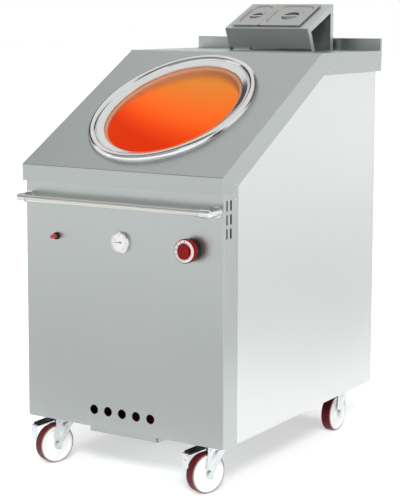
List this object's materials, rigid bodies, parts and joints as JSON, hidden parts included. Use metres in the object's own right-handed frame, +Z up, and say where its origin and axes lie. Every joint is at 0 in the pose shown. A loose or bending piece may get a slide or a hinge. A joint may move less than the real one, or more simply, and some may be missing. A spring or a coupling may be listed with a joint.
{
  "type": "gas tandoor oven",
  "caption": "Floor-standing gas tandoor: steel cabinet on casters with a sloped top, a glowing clay pot behind a polished mouth ring, front controls and a pan rack on its shelf.",
  "frame": {"origin": "middle of the whole object's footprint, on the floor", "axes": "+X to the right as seen from the front, +Y to the back, +Z up"},
  "size_m": [0.7444, 1.1015, 1.474],
  "materials": {
    "satin_steel": "satin brushed stainless sheet",
    "side_steel": "bright fine-grained stainless sheet",
    "polished_steel": "polished stainless",
    "pan_steel": "satin deep-drawn stainless",
    "frame_steel": "grey primed steel",
    "zinc": "bright zinc plating",
    "fired_clay": "rough fired clay, glowing with heat",
    "wool": "mineral wool",
    "burner_iron": "rough cast iron",
    "brass": "turned brass",
    "porcelain": "glazed white porcelain",
    "lead_rubber": "red silicone sleeve",
    "black_plastic": "black moulded plastic",
    "red_plastic": "dark red moulded plastic",
    "scale_white": "white ring with grey marks",
    "dial_white": "white enamel with grey marks",
    "needle_black": "black lacquer",
    "dial_glass": "clear",
    "nylon": "white nylon",
    "red_tyre": "dark red polyurethane"
  },
  "bodies": {
    "cabinet": {"front_panel": "satin_steel", "left_side_panel": "side_steel", "right_side_panel": "side_steel", "rear_panel": "satin_steel", "base_plate": "frame_steel", "chassis_frame": "frame_steel", "top_cover": "satin_steel", "panel_screws": "zinc", "towel_rail": "polished_steel", "rail_brackets": "polished_steel", "mouth_ring": "polished_steel", "clay_pot": "fired_clay", "insulation_jacket": "wool", "pot_drum": "frame_steel", "pot_stand": "frame_steel", "burner": "burner_iron", "burner_pipe": "brass", "gas_valve": "brass", "inlet_pipe": "brass", "ignition_electrode": "porcelain", "ignition_lead": "lead_rubber", "igniter_housing": "black_plastic", "thermometer_case": "polished_steel", "thermometer_dial": "dial_white", "thermometer_glass": "dial_glass", "knob_collar": "black_plastic", "tray_runners": "frame_steel", "caster_plates": "zinc", "caster_bolts": "zinc"},
    "igniter_button": {"igniter_button": "red_plastic"},
    "spindle": {"valve_spindle": "brass"},
    "knob": {"control_knob": "red_plastic", "knob_scale": "scale_white"},
    "needle": {"thermometer_needle": "needle_black"},
    "tray": {"crumb_tray": "pan_steel"},
    "rack": {"pan_rack": "pan_steel"},
    "small_pan": {"small_pan": "pan_steel"},
    "large_pan": {"large_pan": "pan_steel"},
    "small_lid": {"small_lid": "pan_steel"},
    "large_lid": {"large_lid": "pan_steel"},
    "front_left_caster": {"front_left_fork": "zinc", "front_left_axle": "zinc"},
    "front_left_roller": {"front_left_wheel": "nylon", "front_left_tyre": "red_tyre"},
    "front_left_brake": {"left_brake_pedal": "zinc", "left_pedal_pad": "black_plastic"},
    "front_right_caster": {"front_right_fork": "zinc", "front_right_axle": "zinc"},
    "front_right_roller": {"front_right_wheel": "nylon", "front_right_tyre": "red_tyre"},
    "front_right_brake": {"right_brake_pedal": "zinc", "right_pedal_pad": "black_plastic"},
    "rear_left_caster": {"rear_left_fork": "zinc", "rear_left_axle": "zinc"},
    "rear_left_roller": {"rear_left_wheel": "nylon", "rear_left_tyre": "red_tyre"},
    "rear_right_caster": {"rear_right_fork": "zinc", "rear_right_axle": "zinc"},
    "rear_right_roller": {"rear_right_wheel": "nylon", "rear_right_tyre": "red_tyre"}
  },
  "joints": [
    {"name": "igniter_push", "type": "slide", "parent": "cabinet", "child": "igniter_button", "axis": [0, 1, 0], "range_m": [0, 0.006], "stiffness_N_per_m": 400},
    {"name": "knob_turn", "type": "hinge", "parent": "cabinet", "child": "spindle", "pos_m": [0.254, -0.52225, 0.75], "axis": [0, -1, 0], "range_deg": [0, 210]},
    {"name": "knob_push", "type": "slide", "parent": "spindle", "child": "knob", "axis": [0, 1, 0], "range_m": [0, 0.003], "stiffness_N_per_m": 1500},
    {"name": "needle_turn", "type": "hinge", "parent": "cabinet", "child": "needle", "pos_m": [0, -0.48815, 0.75], "axis": [0, 1, 0], "range_deg": [-30, 240], "stiffness_Nm_per_rad": 0.001},
    {"name": "tray_slide", "type": "slide", "parent": "cabinet", "child": "tray", "axis": [0, -1, 0], "range_m": [0, 0.3]},
    {"name": "rack_lift", "type": "slide", "parent": "cabinet", "child": "rack", "axis": [0, 0, 1], "range_m": [0, 0.15]},
    {"name": "small_pan_lift", "type": "slide", "parent": "rack", "child": "small_pan", "axis": [0, -0.4067, 0.9135], "range_m": [0, 0.08]},
    {"name": "small_lid_lift", "type": "slide", "parent": "small_pan", "child": "small_lid", "axis": [0, -0.4067, 0.9135], "range_m": [0, 0.08]},
    {"name": "large_pan_lift", "type": "slide", "parent": "rack", "child": "large_pan", "axis": [0, -0.4067, 0.9135], "range_m": [0, 0.08]},
    {"name": "large_lid_lift", "type": "slide", "parent": "large_pan", "child": "large_lid", "axis": [0, -0.4067, 0.9135], "range_m": [0, 0.08]},
    {"name": "front_left_swivel", "type": "hinge", "parent": "cabinet", "child": "front_left_caster", "pos_m": [-0.288, -0.39825, 0.145], "axis": [0, 0, 1], "continuous": true},
    {"name": "front_left_spin", "type": "hinge", "parent": "front_left_caster", "child": "front_left_roller", "pos_m": [-0.301, -0.43396, 0.0625], "axis": [0.9397, -0.342, 0], "continuous": true},
    {"name": "front_left_brake", "type": "hinge", "parent": "front_left_caster", "child": "front_left_brake", "pos_m": [-0.29929, -0.42926, 0.1351], "axis": [0.9397, -0.342, 0], "range_deg": [0, 10]},
    {"name": "front_right_swivel", "type": "hinge", "parent": "cabinet", "child": "front_right_caster", "pos_m": [0.288, -0.39825, 0.145], "axis": [0, 0, 1], "continuous": true},
    {"name": "front_right_spin", "type": "hinge", "parent": "front_right_caster", "child": "front_right_roller", "pos_m": [0.275, -0.43396, 0.0625], "axis": [0.9397, -0.342, 0], "continuous": true},
    {"name": "front_right_brake", "type": "hinge", "parent": "front_right_caster", "child": "front_right_brake", "pos_m": [0.27671, -0.42926, 0.1351], "axis": [0.9397, -0.342, 0], "range_deg": [0, 10]},
    {"name": "rear_left_swivel", "type": "hinge", "parent": "cabinet", "child": "rear_left_caster", "pos_m": [-0.288, 0.42375, 0.145], "axis": [0, 0, 1], "continuous": true},
    {"name": "rear_left_spin", "type": "hinge", "parent": "rear_left_caster", "child": "rear_left_roller", "pos_m": [-0.288, 0.38575, 0.0625], "axis": [1, 0, 0], "continuous": true},
    {"name": "rear_right_swivel", "type": "hinge", "parent": "cabinet", "child": "rear_right_caster", "pos_m": [0.288, 0.42375, 0.145], "axis": [0, 0, 1], "continuous": true},
    {"name": "rear_right_spin", "type": "hinge", "parent": "rear_right_caster", "child": "rear_right_roller", "pos_m": [0.288, 0.38575, 0.0625], "axis": [1, 0, 0], "continuous": true}
  ]
}
